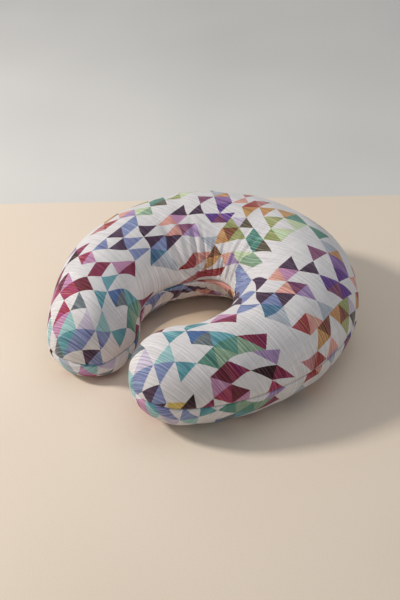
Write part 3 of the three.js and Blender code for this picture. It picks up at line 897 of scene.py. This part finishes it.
def fill_piece():
    spine = Spine(LINING_SPACING)
    ring = closed_ring(spine, FILL_SECTION, FILL_INSET)
    x, y, z = millimetres(ring)
    tufts = 1 - np.sin(x / 6.1 + 1.3 * np.sin(y / 9)) * np.sin(y / 7.3 + z / 8.9)
    middle = np.stack([spine.x, spine.y + ARC_CENTRE.y, np.full(len(spine.x), SEAM_Z)], axis=-1)
    outward = ring - middle[:, None, :]
    outward /= np.maximum(np.linalg.norm(outward, axis=-1, keepdims=True), 1e-6)
    rounded = np.cos(spine.rounding)[:, None, None]
    mesh = grid_mesh("fill", settled(ring + outward * TUFT * tufts[..., None] * rounded), closed=True)
    fill = place_piece("fill", mesh, FINISHES["fibre"], "cushion", "fibre", "fibre_fill")


def label_piece(name, start, end, node):
    """A satin label that hangs, slightly wavy, inside its holder."""
    across, down = 9, 13
    section = np.radians(np.linspace(*LABEL_DROP, down))
    points = skin(BackRun(start, end, across), LOWER, section, LABEL_INSET + LABEL / 2, SEAM_GAP)
    hang = np.linspace(0, 1, down)[None, :]
    turn = np.linspace(0, math.pi, across)[:, None]
    points += grid_normals(points, UPPER) * (LABEL_WAVE * hang * np.sin(2 * turn + 3 * hang))[..., None]
    mesh = grid_mesh(name, points)
    label = place_piece(name, mesh, FINISHES["label_satin"], "cushion", "label_satin", node)
    solidify(label, SATIN)


# ------------ thread and zip
STITCH = 0.0032
STITCH_GAP = 0.0008
STITCH_BOW = np.array([1.0, 0.3, 0.0, 0.3, 1.0])        # how deep a stitch lies along its length
STITCH_GIRTH = np.array([0.5, 0.95, 1, 0.95, 0.5])
THREAD_RADIUS = 0.00025
WIRE_SIDES = 6                  # round a thread or a coil's wire
ROUTE_SPACING = 0.004
COVER_SEAM_INSET = 0.0032
LINER_SEAM_INSET = 0.0092
TOPSTITCH_PROUD = 0.0002
LINER_OPENING = math.radians(15)
CLOSING_RADIUS = OUTER_RADIUS - LINER_INSET + 0.00055
CLOSING_WANDER = 0.0002
CLOSING_POINTS = 80
COIL_PITCH = 0.0013
COIL_WIRE = 0.00032
COIL_RADIUS = 0.2503            # the middle of the coils, from the arc's centre
COIL_REACH = (0.00075, 0.0026)  # from the seam's plane
COIL_THICKNESS = 0.0016
COIL_STEPS = 10                 # to a loop
METAL_BEVEL = 0.00018


def tube(path, radii, sides):
    """(points, faces) of a closed tube along a path."""
    path = np.asarray(path, float)
    ahead = np.gradient(path, axis=0)
    ahead /= np.linalg.norm(ahead, axis=1, keepdims=True)
    flat = np.cross(ahead, (0.0, 0.0, 1.0))
    weak = np.linalg.norm(flat, axis=1) < 1e-3
    flat[weak] = (1.0, 0.0, 0.0)
    flat /= np.linalg.norm(flat, axis=1, keepdims=True)
    rise = np.cross(flat, ahead)
    turn = np.arange(sides) * 2 * math.pi / sides
    rim = flat[:, None] * np.cos(turn)[None, :, None] + rise[:, None] * np.sin(turn)[None, :, None]
    points = (path[:, None] + rim * np.asarray(radii, float)[:, None, None]).reshape(-1, 3)
    first = np.arange(len(path) - 1)[:, None] * sides + np.arange(sides)
    after = np.arange(len(path) - 1)[:, None] * sides + (np.arange(sides) + 1) % sides
    faces = np.stack([first, after, after + sides, first + sides], axis=-1).reshape(-1, 4).tolist()
    faces.append(list(range(sides))[::-1])
    faces.append(list(range(len(points) - sides, len(points))))
    return points, faces


def tubes_mesh(name, tubes):
    points, faces, start = [], [], 0
    for part, part_faces in tubes:
        points.append(part)
        faces += [[corner + start for corner in face] for face in part_faces]
        start += len(part)
    mesh = bpy.data.meshes.new(name)
    mesh.from_pydata(np.concatenate(points).tolist(), [], faces)
    mesh.polygons.foreach_set("use_smooth", [True] * len(mesh.polygons))
    return mesh


def along(path, lengths):
    """(the places at some lengths along a path, the path's whole length)."""
    steps = np.concatenate([[0], np.cumsum(np.linalg.norm(np.diff(path, axis=0), axis=1))])
    return np.stack([np.interp(lengths, steps, path[:, axis]) for axis in range(3)], axis=-1), steps[-1]


def stitching(name, path, node, bow=0.00015):
    """A run of separate lock stitches along a path, each bowed out of the cloth."""
    total = along(path, [0])[1]
    tubes = []
    for start in np.arange(0, total - STITCH, STITCH + STITCH_GAP):
        centre = along(path, start + np.linspace(0, STITCH, len(STITCH_BOW)))[0]
        centre[:, 2] -= STITCH_BOW * bow * np.sign(centre[:, 2] - SEAM_Z)
        tubes.append(tube(centre, THREAD_RADIUS * STITCH_GIRTH, WIRE_SIDES))
    place_piece(name, tubes_mesh(name, tubes), FINISHES["sewing_thread"], "cushion", "sewing_thread", node)


def seam_route(inset, open_end):
    """Round the outer seam from one end of the opening to the other, by way of the inner seam."""
    spine = Spine(ROUTE_SPACING)
    shut = np.zeros((len(spine.turn), 2))
    rim = settled(skin(spine, UPPER, np.array([0, math.pi]), inset, shut))
    shut_here = (spine.rounding > 0) | (np.abs(spine.turn) > open_end)
    right = shut_here & (spine.turn > 0)
    left = shut_here & (spine.turn < 0)
    return np.concatenate([rim[right, 0], rim[-2:0:-1, 1], rim[left, 0]])


def topstitch_path(panel_points):
    """Along the third line of the finished panel, just proud of the cloth, beside the zip."""
    spine = Spine(COVER_SPACING)
    beside = (np.abs(spine.turn) < TAPE_END) & (spine.rounding == 0)
    turn = spine.turn[beside]
    outward = np.stack([np.sin(turn), np.cos(turn), np.zeros(len(turn))], axis=-1)
    return panel_points[beside, 2] + outward * TOPSTITCH_PROUD


def closing_path():
    """Along the hand-closed gap in the liner, a little uneven."""
    turn = np.linspace(-LINER_OPENING, LINER_OPENING, CLOSING_POINTS)
    level = SEAM_Z + CLOSING_WANDER * np.sin(np.arange(CLOSING_POINTS) * 0.9)
    x, y = CLOSING_RADIUS * np.sin(turn), CLOSING_RADIUS * np.cos(turn) + ARC_CENTRE.y
    return np.stack([x, y, level], axis=-1)


def coil_piece(name, side, node):
    """A drawn nylon coil: one loop a tooth, along the back's arc."""
    count = round(2 * ZIP_END * COIL_RADIUS / COIL_PITCH) * COIL_STEPS
    turn = np.linspace(-ZIP_END, ZIP_END, count)
    phase = np.arange(count) * 2 * math.pi / COIL_STEPS + (0 if side == UPPER else math.pi)
    middle = sum(COIL_REACH) / 2
    half = (COIL_REACH[1] - COIL_REACH[0]) / 2 - COIL_WIRE
    radius = COIL_RADIUS + (COIL_THICKNESS / 2 - COIL_WIRE) * np.sin(phase)
    level = SEAM_Z + side * (middle - half * np.cos(phase))
    path = np.stack([radius * np.sin(turn), radius * np.cos(turn) + ARC_CENTRE.y, level], axis=-1)
    mesh = tubes_mesh(name, [tube(path, np.full(count, COIL_WIRE), WIRE_SIDES)])
    place_piece(name, mesh, FINISHES["zip_coil"], "cushion", "zip_coil", node)


def finish_cad_node(name, finish, bevel=None):
    node = frame["nodes"][name]
    for material_slot in node.material_slots:
        material_slot.link = "OBJECT"
        material_slot.material = finish
    if bevel:
        rounded = node.modifiers.new("worn_edges", "BEVEL")
        rounded.width = bevel
        rounded.segments = 3
        rounded.limit_method = "ANGLE"


# ------------ the whole scene
make_camera()
make_light()
make_stage()

COTTON = printed_cotton()
SWELLING = make_swelling()
TOP_POINTS = cover_panel("cover_top", UPPER, COTTON, SWELLING)
BOTTOM_POINTS = cover_panel("cover_bottom", LOWER, COTTON, SWELLING)

FINISHES = {
    "liner_cloth": plain_cloth("liner_cloth", (241, 240, 234)),
    "fibre": fibre(),
    "zip_tape": plain_cloth("zip_tape", (232, 228, 220), 1.6, 0.12, 0.85, 0.0003),
    "zip_coil": coil_nylon(),
    "slider_metal": brushed_metal(),
    "sewing_thread": twisted_thread(),
    "label_satin": plain_cloth("label_satin", (246, 245, 241), 2.2, 0.05, 0.5, 0.0001),
}
liner_panel("liner_top", UPPER, "liner_top_panel")
liner_panel("liner_bottom", LOWER, "liner_bottom_panel")
fill_piece()
label_piece("care_label", 50, 55, "cover_care_label")
label_piece("law_label", -55, -50, "liner_law_label")

stitching("cover_seam_stitches", seam_route(COVER_SEAM_INSET, TAPE_END), "cover_seam_thread")
stitching("zip_topstitch_upper", topstitch_path(TOP_POINTS), "zipper_stitch_upper", 0.0)
stitching("zip_topstitch_lower", topstitch_path(BOTTOM_POINTS), "zipper_stitch_lower", 0.0)
stitching("liner_seam_stitches", seam_route(LINER_SEAM_INSET, LINER_OPENING), "liner_seam_thread")
stitching("liner_hand_stitches", closing_path(), "liner_closing_stitch", 0.0)
coil_piece("coil_upper", UPPER, "zipper_coil_upper")
coil_piece("coil_lower", LOWER, "zipper_coil_lower")

for tape in ("zipper_tape_upper", "zipper_tape_lower"):
    finish_cad_node(tape, FINISHES["zip_tape"])
for metal in ("zipper_slider", "zipper_pull_tab", "zipper_top_stop_upper", "zipper_top_stop_lower",
              "zipper_bottom_stop"):
    finish_cad_node(metal, FINISHES["slider_metal"], METAL_BEVEL)
